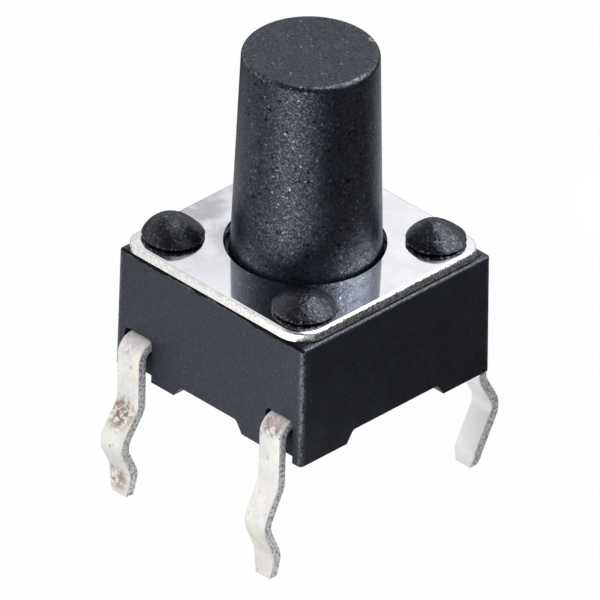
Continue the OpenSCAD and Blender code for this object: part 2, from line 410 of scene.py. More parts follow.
# Each scuff: its middle, the distances from it where it is full and where it ends, and its colour
for centre, full, reach, colour in (
    ((-3.25, -2.3, 0.92), 0.18, 0.36, (0.24, 0.16, 0.14)),
    ((-3.12, -2.35, 1.15), 0.1, 0.45, (0.72, 0.6, 0.62)),
    ((-3.5, 2.3, -0.85), 0.2, 0.55, (0.27, 0.19, 0.15)),
    ((-3.6, 2.3, -2.55), 0.15, 0.42, (0.4, 0.29, 0.22)),
    ((-3.3, 2.3, 0.95), 0.1, 0.45, (0.7, 0.6, 0.67)),
):
    scuff = add_math(tree, "MULTIPLY", rubbed, add_patch(tree, place, centre, full, reach))
    tin_tone = add_mix(tree, scuff, tin_tone, colour)
tin_bump = add_node(tree, "Bump", {"Height": worn["Height"], "Strength": 0.35, "Distance": 0.00003})
skin.inputs["Metallic"].default_value = 0.35
wire(
    tree,
    skin,
    {
        "Base Color": tin_tone,
        "Roughness": add_ramp(tree, worn["Smudge"], 0.3, 0.7, 0.42, 0.55),
        "Normal": tin_bump.outputs["Normal"],
    },
)

# Sheared sides of the strip: bare metal torn by the punch, mottled in light and dark greys
sheared_side, tree, skin, place = new_material("sheared_side")
worn = use_group(tree, handled_metal, {"Place": place, "Smudge Size": 0.075})
shear_tone = add_mix(
    tree, add_ramp(tree, worn["Smudge"], 0.4, 0.56), (0.42, 0.415, 0.43), (0.98, 0.97, 0.99)
)
shear_bump = add_node(tree, "Bump", {"Height": worn["Smudge"], "Strength": 0.8, "Distance": 0.00008})
skin.inputs["Metallic"].default_value = 0.45
wire(
    tree,
    skin,
    {
        "Base Color": shear_tone,
        "Roughness": add_ramp(tree, worn["Smudge"], 0.3, 0.7, 0.45, 0.6),
        "Normal": shear_bump.outputs["Normal"],
    },
)

# The legs' inner faces, which lie in shade under the housing: a brighter, more mirror-like copy of the
# tin without its marks, as painted light
tin_painted_light, tree, skin, place = new_material("tin_painted_light")
worn = use_group(tree, handled_metal, {"Place": place, "Smudge Size": 0.5})
painted_light_tin_tone = add_mix(
    tree, add_ramp(tree, worn["Smudge"], 0.35, 0.7), (0.93, 0.925, 0.93), (0.98, 0.975, 0.97)
)
inner_tin_bump = add_node(tree, "Bump", {"Height": worn["Height"], "Strength": 0.2, "Distance": 0.00002})
skin.inputs["Metallic"].default_value = 0.8
wire(
    tree,
    skin,
    {
        "Base Color": painted_light_tin_tone,
        "Roughness": add_ramp(tree, worn["Smudge"], 0.3, 0.7, 0.4, 0.5),
        "Normal": inner_tin_bump.outputs["Normal"],
    },
)

# Each strip: its place across, and for each of its legs the centre line, width and side step
strips = {}
for name, y, right_leg, left_leg in (
    ("centre_contact_strip", strip_y, (leg_far, strip_w, 0), (leg_left, left_leg_w, left_leg_shift)),
    ("side_contact_strip", -strip_y, (leg_right, strip_w, 0), (leg_near, strip_w, 0)),
):
    strip = add_box(
        name,
        (-strip_straight_end, y - strip_w / 2, strip_bottom_z),
        (strip_straight_end, y + strip_w / 2, strip_top_z),
    )
    bpy.ops.object.mode_set(mode="EDIT")
    add_leg(1, y, *right_leg)
    add_leg(-1, y, *left_leg)
    bpy.ops.mesh.select_all(action="SELECT")
    bpy.ops.mesh.normals_make_consistent(inside=False)
    bpy.ops.object.mode_set(mode="OBJECT")
    strips[name] = strip

# Inner arms, level with the strip, and the contacts that are coined up through the floor
half_arm = side_pad_w / 2
centre_arm = add_box("arm", (-half_arm, 0, strip_bottom_z), (half_arm, strip_y, strip_top_z))
combine(strips["centre_contact_strip"], centre_arm, "UNION")
centre_pad = add_round("pad", centre_pad_r, strip_bottom_z, pad_top_z)
combine(strips["centre_contact_strip"], centre_pad, "UNION")
for x in (-side_pad_x, side_pad_x):
    low = (x - half_arm, -strip_y, strip_bottom_z)
    side_arm = add_box("arm", low, (x + half_arm, 0, strip_top_z))
    combine(strips["side_contact_strip"], side_arm, "UNION")
    low = (x - half_arm, -side_pad_len / 2, strip_bottom_z)
    side_pad = add_box("pad", low, (x + half_arm, side_pad_len / 2, pad_top_z))
    combine(strips["side_contact_strip"], side_pad, "UNION")

# The same solids without their rounding, which the housing is moulded around
passages = []
for strip in strips.values():
    passage = strip.copy()
    passage.data = strip.data.copy()
    bpy.context.collection.objects.link(passage)
    passages.append(passage)

# Tin all over, a brighter copy of it as painted light on the legs' inner faces, and torn metal on the
# sheared sides of the legs
inward = 0.3
sideways = 0.75
legs_from_x = 2
for name, strip in strips.items():
    round_edges(strip, strip_edge_r, 3, sharp)
    coat(strip, tin_plate)
    coat(strip, tin_painted_light, lambda middle, normal: normal.x * math.copysign(1, middle.x) < -inward)
    coat(
        strip,
        sheared_side,
        lambda middle, normal: abs(normal.y) > sideways and abs(middle.x) > legs_from_x,
    )
    finish_piece(strip, "switch_body", "terminal_tin", name.replace("strip", "terminal"))


# ---------------------------------------------------------------------------------------------
# Housing. One moulding in black glass-filled nylon: a square box on four feet, with a low ledge
# round the seat of the plate, a round chamber for the dome and the plunger, and grooves in two
# sides that the legs stand in.
# ---------------------------------------------------------------------------------------------

body_w = 6.0
body_base_w = 6.06
side_slope = 0.0095
body_h = 3.15
ledge_h = 3.115
corner_r = 0.09
top_chamfer = 0.065
ledge_inset = 0.08
foot_h = 0.3
foot_len_x = 1.42
foot_len_y = 1.86
foot_slope = 0.2
foot_edge = 0.06
relief_corner_r = 0.06
groove_w = 0.9
groove_depth = 0.18
groove_top_z = 1.11
groove_corner_r = 0.14
floor_z = 1.17
chamber_r = 2.348
housing_edge_r = 0.025
beyond = 0.5  # how far a cutting body reaches past the piece that it cuts

# Moulded grain: glass fibres that cloud the surface, a few that glint, a soft mottling, and dust
moulded_grain, given, result = new_group(
    "moulded_grain",
    {"Place": "Vector", "Grain Size": "Float", "Glint Share": "Float"},
    {"Fibres": "Float", "Glints": "Float", "Mottle": "Float", "Dust": "Float", "Height": "Float"},
)
grain_scale = add_math(moulded_grain, "DIVIDE", 1.0, given["Grain Size"])
fine = add_node(
    moulded_grain,
    "TexNoise",
    {"Vector": given["Place"], "Scale": grain_scale, "Detail": 2.0, "Roughness": 0.8},
)
grains = add_node(moulded_grain, "TexVoronoi", {"Vector": given["Place"], "Scale": grain_scale})
mottle = add_node(
    moulded_grain, "TexNoise", {"Vector": given["Place"], "Scale": 1.4, "Detail": 5.0, "Roughness": 0.6}
)
dust = add_node(moulded_grain, "TexVoronoi", {"Vector": given["Place"], "Scale": 2.2})
split = add_node(moulded_grain, "SeparateColor", {"Color": grains.outputs["Color"]})
plain_share = add_math(moulded_grain, "SUBTRACT", 1.0, given["Glint Share"])
moulded_grain.links.new(add_ramp(moulded_grain, fine.outputs["Fac"], 0.42, 0.68), result["Fibres"])
moulded_grain.links.new(add_ramp(moulded_grain, split.outputs[0], plain_share, 1.0), result["Glints"])
moulded_grain.links.new(mottle.outputs["Fac"], result["Mottle"])
moulded_grain.links.new(
    add_ramp(moulded_grain, dust.outputs["Distance"], 0.02, 0.05, 1.0, 0.0), result["Dust"]
)
moulded_grain.links.new(fine.outputs["Fac"], result["Height"])


def paint_nylon(tree, skin, grainy, dark, pale, fibre, glint, roughness, bump):
    """Black nylon: two mottled tones, fibres and glints that shine like metal, and dust."""
    tone = add_mix(tree, add_ramp(tree, grainy["Mottle"], 0.3, 0.7), dark, pale)
    tone = add_mix(tree, grainy["Fibres"], tone, fibre)
    tone = add_mix(tree, grainy["Glints"], tone, glint)
    skin.inputs["Specular Tint"].default_value = (0.86, 0.93, 1.0, 1)
    raised = add_node(tree, "Bump", {"Height": grainy["Height"], "Strength": bump, "Distance": 0.00004})
    feeds = {
        "Metallic": add_ramp(tree, add_math(tree, "MAXIMUM", grainy["Fibres"], grainy["Glints"]), 0, 0.4),
        "Roughness": add_ramp(tree, grainy["Mottle"], 0.3, 0.7, *roughness),
        "Normal": raised.outputs["Normal"],
    }
    wire(tree, skin, feeds)
    return add_mix(tree, add_ramp(tree, grainy["Dust"], 0, 1, 0, 0.3), tone, (0.3, 0.3, 0.3))


def add_specks(tree, place, size, low, high):
    """Small ragged specks: 1 where a fine noise is high."""
    field = add_node(
        tree, "TexNoise", {"Vector": place, "Scale": 1 / size, "Detail": 4.0, "Roughness": 0.7}
    )
    return add_ramp(tree, field.outputs["Fac"], low, high)


housing_nylon, tree, skin, place = new_material("housing_nylon")
grainy = use_group(tree, moulded_grain, {"Place": place, "Grain Size": 0.05, "Glint Share": 0.015})
nylon_tone = paint_nylon(
    tree,
    skin,
    grainy,
    dark=(0.002, 0.003, 0.007),
    pale=(0.008, 0.011, 0.019),
    fibre=(0.088, 0.094, 0.112),
    glint=(0.09, 0.095, 0.11),
    roughness=(0.4, 0.48),
    bump=0.3,
)

# Its sharp edges are rubbed, and paler in ragged specks, partly wear and partly a painted highlight along
# the edges
axes = add_node(tree, "SeparateXYZ", {"Vector": place}).outputs
leaned = add_math(tree, "MULTIPLY", axes["Z"], side_slope)
half_here = add_math(tree, "SUBTRACT", body_base_w / 2, leaned)
from_x = add_math(tree, "SUBTRACT", half_here, add_math(tree, "ABSOLUTE", axes["X"]))
from_y = add_math(tree, "SUBTRACT", half_here, add_math(tree, "ABSOLUTE", axes["Y"]))
from_top = add_math(tree, "SUBTRACT", ledge_h, axes["Z"])
from_side = add_math(tree, "MINIMUM", from_x, from_y)
upright = add_ramp(tree, add_math(tree, "MAXIMUM", from_x, from_y), 0.04, 0.16, 1.0, 0.0)
at_top = add_ramp(tree, add_math(tree, "MAXIMUM", from_side, from_top), 0.03, 0.11, 0.5, 0.0)
at_edge = add_math(tree, "MAXIMUM", upright, at_top)
rubbed = add_math(tree, "MULTIPLY", at_edge, add_specks(tree, place, 0.055, 0.44, 0.58))
nylon_tone = add_mix(tree, rubbed, nylon_tone, (0.18, 0.188, 0.212))

# Painted shade: the grooves, and a ragged line under the plate, are painted black and given hardly any
# shine, as if deep in shade
from_strip = add_math(tree, "SUBTRACT", add_math(tree, "ABSOLUTE", axes["Y"]), strip_y)
from_strip = add_math(tree, "ABSOLUTE", from_strip)
in_groove = add_ramp(tree, from_strip, groove_w / 2, groove_w / 2 + close, 1, 0)
in_groove = add_math(tree, "MULTIPLY", in_groove, add_ramp(tree, from_x, 0.04, 0.14))
below_groove_top = add_ramp(tree, axes["Z"], groove_top_z, groove_top_z + close, 1, 0)
in_groove = add_math(tree, "MULTIPLY", in_groove, below_groove_top)
raggedness = add_ramp(tree, grainy["Mottle"], 0.3, 0.7, -0.045, 0.045)
under_plate = add_math(tree, "ADD", from_top, raggedness)
under_plate = add_ramp(tree, under_plate, 0.03, 0.07, 1, 0)
under_plate = add_math(tree, "MULTIPLY", under_plate, add_ramp(tree, from_x, 0.06, 0.1, 1, 0))
painted_shade = add_ramp(tree, add_math(tree, "MAXIMUM", in_groove, under_plate), 0, 1, 0, 0.85)
shine = add_math(tree, "MAXIMUM", skin.inputs["Metallic"].links[0].from_socket, painted_shade)
wire(tree, skin, {"Base Color": add_mix(tree, painted_shade, nylon_tone, (0, 0, 0)), "Metallic": shine})

half_base = body_base_w / 2
housing = add_box("housing_moulding", (-half_base, -half_base, 0), (half_base, half_base, ledge_h))
bpy.ops.object.mode_set(mode="EDIT")
pick("FACE", lambda middle, normal: normal.z > aligned)
draft = body_w / body_base_w
bpy.ops.transform.resize(value=(draft, draft, 1), center_override=(0, 0, ledge_h))
pick("EDGE", lambda middle, along: abs(along.z) > aligned)
bpy.ops.mesh.bevel(offset=corner_r, segments=5, affect="EDGES")
pick("EDGE", lambda middle, along: middle.z > ledge_h - close)
bpy.ops.mesh.bevel(offset=top_chamfer, segments=3, affect="EDGES")
level = 0.99
pick("FACE", lambda middle, normal: normal.z > level)
extrude((0, 0, 0))
stand = 1 - ledge_inset / (body_w / 2 - top_chamfer)
bpy.ops.transform.resize(value=(stand, stand, 1), center_override=(0, 0, ledge_h))
extrude((0, 0, body_h - ledge_h))
bpy.ops.object.mode_set(mode="OBJECT")

chamber = add_round("chamber", chamber_r, floor_z, body_h + beyond)
combine(housing, chamber, "DIFFERENCE")

# Relief between the feet: one channel along each side, with sloping ends
for foot_len, along_x in ((foot_len_y, True), (foot_len_x, False)):
    wide = half_base - foot_len - foot_edge
    far = half_base + beyond
    reach = (far, wide) if along_x else (wide, far)
    relief = add_box("relief", (-reach[0], -reach[1], -foot_h), (*reach, foot_h))
    bpy.ops.object.mode_set(mode="EDIT")
    for direction, half in ((1, wide - foot_slope), (-1, wide + foot_slope)):
        pick("FACE", lambda middle, normal: normal.z * direction > aligned)
        spread = (1, half / wide, 1) if along_x else (half / wide, 1, 1)
        bpy.ops.transform.resize(value=spread, center_override=(0, 0, 0))
    channel_axis = Vector((1, 0, 0)) if along_x else Vector((0, 1, 0))
    pick(
        "EDGE",
        lambda middle, along: middle.z > foot_h - close and abs(along.dot(channel_axis)) > aligned,
    )
    bpy.ops.mesh.bevel(offset=relief_corner_r, segments=4, affect="EDGES")
    bpy.ops.object.mode_set(mode="OBJECT")
    combine(housing, relief, "DIFFERENCE")

# Grooves for the legs, round at their top corners
for side in (-1, 1):
    for y in (-strip_y, strip_y):
        back = side * (body_w / 2 - groove_depth)
        face = side * (body_w / 2 + beyond)
        low = (min(back, face), y - groove_w / 2, -beyond)
        groove = add_box("groove", low, (max(back, face), y + groove_w / 2, groove_top_z))
        bpy.ops.object.mode_set(mode="EDIT")
        pick(
            "EDGE",
            lambda middle, along: middle.z > groove_top_z - close and abs(along.x) > aligned,
        )
        bpy.ops.mesh.bevel(offset=groove_corner_r, segments=5, affect="EDGES")
        bpy.ops.object.mode_set(mode="OBJECT")
        combine(housing, groove, "DIFFERENCE")

for passage in passages:
    combine(housing, passage, "DIFFERENCE")
round_edges(housing, housing_edge_r, 2, sharp)
coat(housing, housing_nylon)


# ---------------------------------------------------------------------------------------------
# Snap dome. A round of thin stainless spring sheet, pressed to a shallow dome. Its rim lies on the
# two side contacts, and it snaps flat onto the centre contact when the plunger comes down.
# ---------------------------------------------------------------------------------------------

dome_t = 0.06
dome_r = dome_high.x
dome_h = dome_high.z - dome_low.z
dome_ball_r = (dome_r ** 2 + dome_h ** 2) / (2 * dome_h)

bpy.ops.mesh.primitive_uv_sphere_add(
    segments=96, ring_count=120, radius=dome_ball_r, location=(0, 0, dome_high.z - dome_ball_r)
)
dome = bpy.context.object
dome.name = "dome"
bpy.ops.object.transform_apply()
bpy.ops.object.mode_set(mode="EDIT")
bpy.ops.mesh.select_all(action="SELECT")
bpy.ops.mesh.bisect(
    plane_co=(0, 0, dome_low.z + dome_t), plane_no=(0, 0, 1), clear_inner=True
)
bpy.ops.object.mode_set(mode="OBJECT")
wall = dome.modifiers.new("wall", "SOLIDIFY")
wall.thickness = dome_t
wall.offset = -1
apply_modifier(dome, wall)

dome_spring, tree, skin, place = new_material("dome_spring")
worn = use_group(tree, handled_metal, {"Place": place, "Smudge Size": 0.7})
spring_tone = add_mix(
    tree, add_ramp(tree, worn["Smudge"], 0.35, 0.65), (0.6, 0.6, 0.62), (0.75, 0.75, 0.76)
)
skin.inputs["Metallic"].default_value = 1.0
spring_roughness = add_ramp(tree, worn["Smudge"], 0, 1, 0.18, 0.35)
wire(tree, skin, {"Base Color": spring_tone, "Roughness": spring_roughness})
coat(dome, dome_spring)
finish_piece(dome, "switch_body", "dome_steel", "snap_dome")
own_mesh(dome)


# ---------------------------------------------------------------------------------------------
# Plunger. One moulding in black nylon with a faint sparkle: a nub that presses the dome, a flange
# that the cover plate keeps in, and a long, slightly drafted round stem.
# ---------------------------------------------------------------------------------------------

nub_r = 0.8
flange_r = 2.198
stem_base_r = 1.755
stem_top_r = 1.588
stem_edge_r = 0.12
flange_edge_r = 0.04
stem_lean = (0.02, -0.02)
plunger_low, plunger_high = (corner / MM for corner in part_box("plunger"))
flange_bottom_z = 2.42
flange_top_z = 3.12

# A small chip in the rim of its top, and the pale bruise round it
chip_turn = math.atan2(-0.626, 1.395)
chip_from_axis = 1.57
chip_depth = 0.02
chip_r = 0.08
bruise_shift = Vector((0.02, 0.05, 0))


def grow(radius_ratio, height=0.0, lean=(0, 0)):
    """Extrudes the selected face upwards, and makes it wider or narrower."""
    extrude((*lean, height))
    bpy.ops.transform.resize(value=(radius_ratio, radius_ratio, 1))


bpy.ops.mesh.primitive_circle_add(
    vertices=128, radius=nub_r, fill_type="NGON", location=(*stem_lean, plunger_low.z)
)
plunger = bpy.context.object
plunger.name = "press_stem"
bpy.ops.object.transform_apply()
bpy.ops.object.mode_set(mode="EDIT")
bpy.ops.mesh.select_all(action="SELECT")
grow(1, flange_bottom_z - plunger_low.z)
grow(flange_r / nub_r)
grow(1, flange_top_z - flange_bottom_z)
grow(stem_base_r / flange_r)
grow(stem_top_r / stem_base_r, plunger_high.z - flange_top_z)
bpy.ops.mesh.select_all(action="SELECT")
bpy.ops.mesh.normals_make_consistent(inside=False)
pick("EDGE", lambda middle, along: middle.z > plunger_high.z - close)
bpy.ops.mesh.bevel(offset=stem_edge_r, segments=5, affect="EDGES")
bpy.ops.object.mode_set(mode="OBJECT")
round_edges(plunger, flange_edge_r, 3, nearly_square)
chip_toward = Vector((math.cos(chip_turn), math.sin(chip_turn), 0))
chip_place = chip_toward * chip_from_axis + Vector((0, 0, plunger_high.z - chip_depth))
bpy.ops.mesh.primitive_ico_sphere_add(subdivisions=1, radius=chip_r, location=chip_place)
bpy.ops.object.transform_apply()
combine(plunger, bpy.context.object, "DIFFERENCE")

stem_nylon, tree, skin, place = new_material("stem_nylon")
grainy = dict(
    use_group(tree, moulded_grain, {"Place": place, "Grain Size": 0.05, "Glint Share": 0.03}).items()
)
axes = add_node(tree, "SeparateXYZ", {"Vector": place}).outputs
# Painted shade: the top takes fewer fibres and glints than the side, so that it is a little darker
on_top = add_ramp(tree, axes["Z"], plunger_high.z - 3 * close, plunger_high.z - close)
on_side = add_ramp(tree, on_top, 0, 1, 1.0, 0.9)
grainy["Fibres"] = add_math(tree, "MULTIPLY", grainy["Fibres"], on_side)
grainy["Glints"] = add_math(tree, "MULTIPLY", grainy["Glints"], on_side)
skin.inputs["Specular IOR Level"].default_value = 0.38
stem_tone = paint_nylon(
    tree,
    skin,
    grainy,
    dark=(0.003, 0.004, 0.009),
    pale=(0.006, 0.008, 0.015),
    fibre=(0.155, 0.163, 0.2),
    glint=(0.25, 0.265, 0.3),
    roughness=(0.28, 0.36),
    bump=0.3,
)

# The rim of its top is rubbed in places, paler in specks that are partly wear and partly a painted
# highlight, and bruised round the chip, and its top is scuffed and pitted
flat_place = add_node(tree, "CombineXYZ", {"X": axes["X"], "Y": axes["Y"], "Z": 0.0})
radius_here = add_node(tree, "VectorMath", {0: flat_place.outputs["Vector"]}, operation="LENGTH")
from_rim = add_math(tree, "SUBTRACT", radius_here.outputs["Value"], stem_top_r - stem_edge_r / 2)
from_top = add_math(tree, "SUBTRACT", plunger_high.z - stem_edge_r / 2, axes["Z"])
from_rim = add_math(
    tree, "MAXIMUM", add_math(tree, "ABSOLUTE", from_rim), add_math(tree, "ABSOLUTE", from_top)
)
at_edge = add_ramp(tree, from_rim, 0.02, 0.08, 1.0, 0.0)
rubbed = add_math(tree, "MULTIPLY", at_edge, add_specks(tree, place, 0.08, 0.5, 0.6))
stem_tone = add_mix(tree, rubbed, stem_tone, (0.16, 0.165, 0.18))
bruised = add_patch(tree, place, chip_place + bruise_shift, 0.1, 0.16)
bruised = add_math(tree, "MULTIPLY", bruised, add_specks(tree, place, 0.09, 0.36, 0.48))
stem_tone = add_mix(tree, bruised, stem_tone, (0.5, 0.48, 0.38))
scuffed = add_math(tree, "MULTIPLY", add_specks(tree, place, 0.2, 0.46, 0.62), on_top)
stem_tone = add_mix(tree, scuffed, stem_tone, (0.07, 0.075, 0.09))
# Painted shade: the pits are painted black with no shine, and more of them on the top darken it
pit_shade = add_specks(tree, place, 0.1, 0.565, 0.65)
top_pit_shade = add_math(tree, "MULTIPLY", add_specks(tree, place, 0.045, 0.46, 0.62), on_top)
pit_shade = add_math(tree, "MAXIMUM", pit_shade, add_ramp(tree, top_pit_shade, 0, 1, 0, 0.55))
stem_tone = add_mix(tree, pit_shade, stem_tone, (0, 0, 0))
shine = add_math(tree, "MAXIMUM", skin.inputs["Metallic"].links[0].from_socket, pit_shade)
wire(tree, skin, {"Base Color": stem_tone, "Metallic": shine})
coat(plunger, stem_nylon)
finish_piece(plunger, "button", "plunger_plastic", "plunger")


# ---------------------------------------------------------------------------------------------
# Cover plate. A square of bright stainless sheet, punched from above, so that its upper edges are
# drawn in round. It has a hole for the stem and four for the housing's posts.
# ---------------------------------------------------------------------------------------------

plate_low, plate_high = (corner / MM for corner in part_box("cover_plate"))
plate_corner_radii = {(-1, -1): 0.7, (1, -1): 0.55, (-1, 1): 0.4, (1, 1): 0.6}
stem_hole_r = 1.878
post_r = 0.45
post_hole_r = 0.5
post_at = 2.12
die_roll = 0.08
burr_r = 0.02
low_corner_shift = Vector((-0.09, -0.03, 0))
high_corner_shift = Vector((0.02, 0, 0))
front_side_y = -2.91
front_fade = 0.03
outline_from = 2.7  # further out than this lies only the plate's outline
clouded_at = (-1.2, 2.9)

plate = add_box("plate", plate_low + low_corner_shift, plate_high + high_corner_shift)
bpy.ops.object.mode_set(mode="EDIT")
for (x_side, y_side), radius in plate_corner_radii.items():
    pick(
        "EDGE",
        lambda middle, along: abs(along.z) > aligned and middle.x * x_side > 0 and middle.y * y_side > 0,
    )
    bpy.ops.mesh.bevel(offset=radius, segments=12, affect="EDGES")
pick("EDGE", lambda middle, along: middle.z > plate_high.z - close)
bpy.ops.mesh.bevel(offset=die_roll, segments=5, affect="EDGES")
bpy.ops.object.mode_set(mode="OBJECT")
stem_punch = add_round("stem_hole", stem_hole_r, body_h - beyond, plate_high.z + beyond)
combine(plate, stem_punch, "DIFFERENCE")
for x in (-post_at, post_at):
    for y in (-post_at, post_at):
        punch = add_round("punch", post_hole_r, body_h - beyond, plate_high.z + beyond, x, y, 48)
        combine(plate, punch, "DIFFERENCE")
round_edges(plate, burr_r, 2, nearly_square)

# Bright rolled steel, clouded and darker towards one corner
bright_steel, tree, skin, place = new_material("bright_steel")
worn = use_group(tree, handled_metal, {"Place": place, "Smudge Size": 0.7})
steel_tone = add_mix(
    tree, add_ramp(tree, worn["Smudge"], 0.35, 0.65), (0.86, 0.87, 0.92), (0.95, 0.955, 0.99)
)
clouded = add_patch(tree, place, (*clouded_at, plate_high.z), 0.4, 4.2)
clouded = add_math(tree, "MULTIPLY", clouded, add_ramp(tree, worn["Smudge"], 0.3, 0.6, 0.1, 1.0))
steel_tone = add_mix(tree, clouded, steel_tone, (0.5, 0.49, 0.53))
skin.inputs["Metallic"].default_value = 1.0
steel_roughness = add_ramp(tree, worn["Smudge"], 0, 1, 0.03, 0.1)
wire(tree, skin, {"Base Color": steel_tone, "Roughness": steel_roughness})
coat(plate, bright_steel)

# Its outer sides, torn by the punch, and the front side painted much darker and more mottled as well, as
# painted shade
punched_edge, tree, skin, place = new_material("punched_edge")
worn = use_group(tree, handled_metal, {"Place": place, "Smudge Size": 0.07})
edge_tone = add_mix(
    tree, add_ramp(tree, worn["Smudge"], 0.36, 0.56), (0.8, 0.79, 0.78), (0.99, 0.98, 0.97)
)
torn_and_shaded_tone = add_mix(
    tree, add_ramp(tree, worn["Smudge"], 0.36, 0.6), (0.2, 0.2, 0.205), (0.85, 0.84, 0.83)
)
side_y = add_node(tree, "SeparateXYZ", {"Vector": place}).outputs["Y"]
on_front = add_ramp(tree, side_y, front_side_y, front_side_y + front_fade, 1.0, 0.0)
edge_tone = add_mix(tree, on_front, edge_tone, torn_and_shaded_tone)
edge_bump = add_node(tree, "Bump", {"Height": worn["Smudge"], "Strength": 0.4, "Distance": 0.00006})
skin.inputs["Metallic"].default_value = 1.0
wire(
    tree,
    skin,
    {
        "Base Color": edge_tone,
        "Roughness": add_ramp(tree, worn["Smudge"], 0.3, 0.7, 0.28, 0.4),
        "Normal": edge_bump.outputs["Normal"],
    },
)
upward = 0.8
coat(
    plate,
    punched_edge,
    lambda middle, normal: abs(normal.z) < upward and max(abs(middle.x), abs(middle.y)) > outline_from,
)
finish_piece(plate, "switch_body", "plate_steel", "cover_plate")


# ---------------------------------------------------------------------------------------------
# Staked posts. Four posts of the housing stand up through the plate, and their ends are melted
# down over it into low mushroom heads, each a little oval, lopsided and ragged at its rim.
# ---------------------------------------------------------------------------------------------

rim_gap = 0.01
head_rim_low_z = plate_high.z + rim_gap
torn_full_z = head_rim_low_z + 0.08
torn_end_z = head_rim_low_z + 0.13
post_root = 0.3  # how far each post reaches down into the housing
post_end = 0.15  # and up into its head

# Rings of a head from its foot up: share of its radius, and share of its height
head_rings = (
    (0.88, 0.0),
    (0.97, 0.07),
    (1.0, 0.13),
    (0.98, 0.2),
    (0.89, 0.33),
    (0.74, 0.52),
    (0.55, 0.71),
    (0.36, 0.87),
    (0.18, 0.97),
    (0.05, 1.0),
)


def add_head(x, y, radius, height, fullness, lean, oval):
    """Adds a melted head: a low oval cone with a round tip that leans, over a thin ragged rim."""
    first, *rings = ((width ** (1 / fullness), rise) for width, rise in head_rings)
    bpy.ops.mesh.primitive_circle_add(
        vertices=48,
        radius=radius * first[0],
        fill_type="NGON",
        location=(x, y, head_rim_low_z),
        rotation=(0, 0, math.radians(45)),
        scale=(oval, 1, 1),
    )
    bpy.ops.object.transform_apply()
    head = bpy.context.object
    bpy.ops.object.mode_set(mode="EDIT")
    bpy.ops.mesh.select_all(action="SELECT")
    before = first
    for ring in rings:
        share = ring[1] - before[1]
        grow(ring[0] / before[0], share * height, (lean[0] * share, lean[1] * share))
        before = ring
    bpy.ops.mesh.select_all(action="SELECT")
    bpy.ops.mesh.normals_make_consistent(inside=False)
    bpy.ops.object.mode_set(mode="OBJECT")
    smoother = head.modifiers.new("smoother", "SUBSURF")
    smoother.levels = smoother.render_levels = 2
    apply_modifier(head, smoother)
    return head


# Each head: its corner, its radius and height, how full its curve is, how far its tip leans, how
# oval it is, and how far it sits off its post along both axes
for name, x, y, radius, height, fullness, lean, oval, shift in (
    ("near", -1, -1, 0.75, 0.45, 1.1, (0.02, -0.02), 0.93, 0.09),
    ("left", -1, 1, 0.73, 0.54, 1.25, (-0.06, 0.08), 0.92, 0.06),
    ("right", 1, -1, 0.71, 0.54, 0.95, (-0.05, 0.07), 0.92, 0.085),
    ("far", 1, 1, 0.72, 0.5, 1.1, (0.05, 0.02), 1, 0),
):
    x, y = x * post_at, y * post_at
    post = add_round("post", post_r, body_h - post_root, plate_high.z + post_end, x, y, 48)
    combine(housing, post, "UNION")
    head = add_head(x + shift, y + shift, radius, height, fullness, lean, oval)
    head.name = "head_" + name
    ripple(head, size=0.3, depth=0.035)
    ripple(head, size=0.08, depth=0.02)
    combine(housing, head, "UNION")

# Melted nylon: rough and pitted, with pale specks where the hot tool has torn the thin rim
melted_nylon, tree, skin, place = new_material("melted_nylon")
grainy = use_group(tree, moulded_grain, {"Place": place, "Grain Size": 0.06, "Glint Share": 0.03})
skin.inputs["Specular IOR Level"].default_value = 0.44
melted_tone = paint_nylon(
    tree,
    skin,
    grainy,
    dark=(0.002, 0.002, 0.004),
    pale=(0.007, 0.007, 0.01),
    fibre=(0.09, 0.094, 0.114),
    glint=(0.2, 0.2, 0.22),
    roughness=(0.3, 0.38),
    bump=0.4,
)
axes = add_node(tree, "SeparateXYZ", {"Vector": place}).outputs
at_rim = add_ramp(tree, axes["Z"], torn_full_z, torn_end_z, 1, 0)
torn = add_math(tree, "MULTIPLY", at_rim, add_specks(tree, place, 0.06, 0.53, 0.64))
whole = add_ramp(tree, torn, 0, 1, 1, 0)
shine = add_math(tree, "MULTIPLY", skin.inputs["Metallic"].links[0].from_socket, whole)
wire(tree, skin, {"Base Color": add_mix(tree, torn, melted_tone, (0.26, 0.25, 0.24)), "Metallic": shine})
coat(housing, melted_nylon, lambda middle, normal: middle.z > head_rim_low_z - rim_gap / 2)
finish_piece(housing, "switch_body", "housing_plastic", "housing")


# ---------------------------------------------------------------------------------------------
# Floor, lights and camera. The switch stands on a plain white floor, lit by a soft box to one side
# and by three weaker ones, low, overhead and behind. It is seen corner on, from a little above.
# ---------------------------------------------------------------------------------------------

scene = bpy.context.scene
scene.view_settings.view_transform = "Standard"

floor_r = 1.5  # in metres, as the lamps' and the camera's places are
bpy.ops.mesh.primitive_circle_add(
    vertices=64, radius=floor_r, fill_type="NGON", location=(0, 0, cad_low.z)
)
floor = bpy.context.object
floor.name = "floor"
bpy.ops.object.transform_apply()

floor_white = bpy.data.materials.new("floor_white")
floor_white.use_nodes = True
tree = floor_white.node_tree
tree.nodes.clear()
rays = add_node(tree, "LightPath")


def seen_white(tree, rays):
    """1 for the rays that see the background: from the camera, off metal and through glass."""
    either = add_math(tree, "MAXIMUM", rays.outputs["Is Camera Ray"], rays.outputs["Is Glossy Ray"])
    return add_math(tree, "MAXIMUM", either, rays.outputs["Is Transmission Ray"])


pale = add_node(
    tree,
    "BsdfDiffuse",
    {"Color": add_mix(tree, rays.outputs["Is Camera Ray"], (0.5, 0.5, 0.5), (0.8, 0.8, 0.8))},
)
place = add_place(tree)

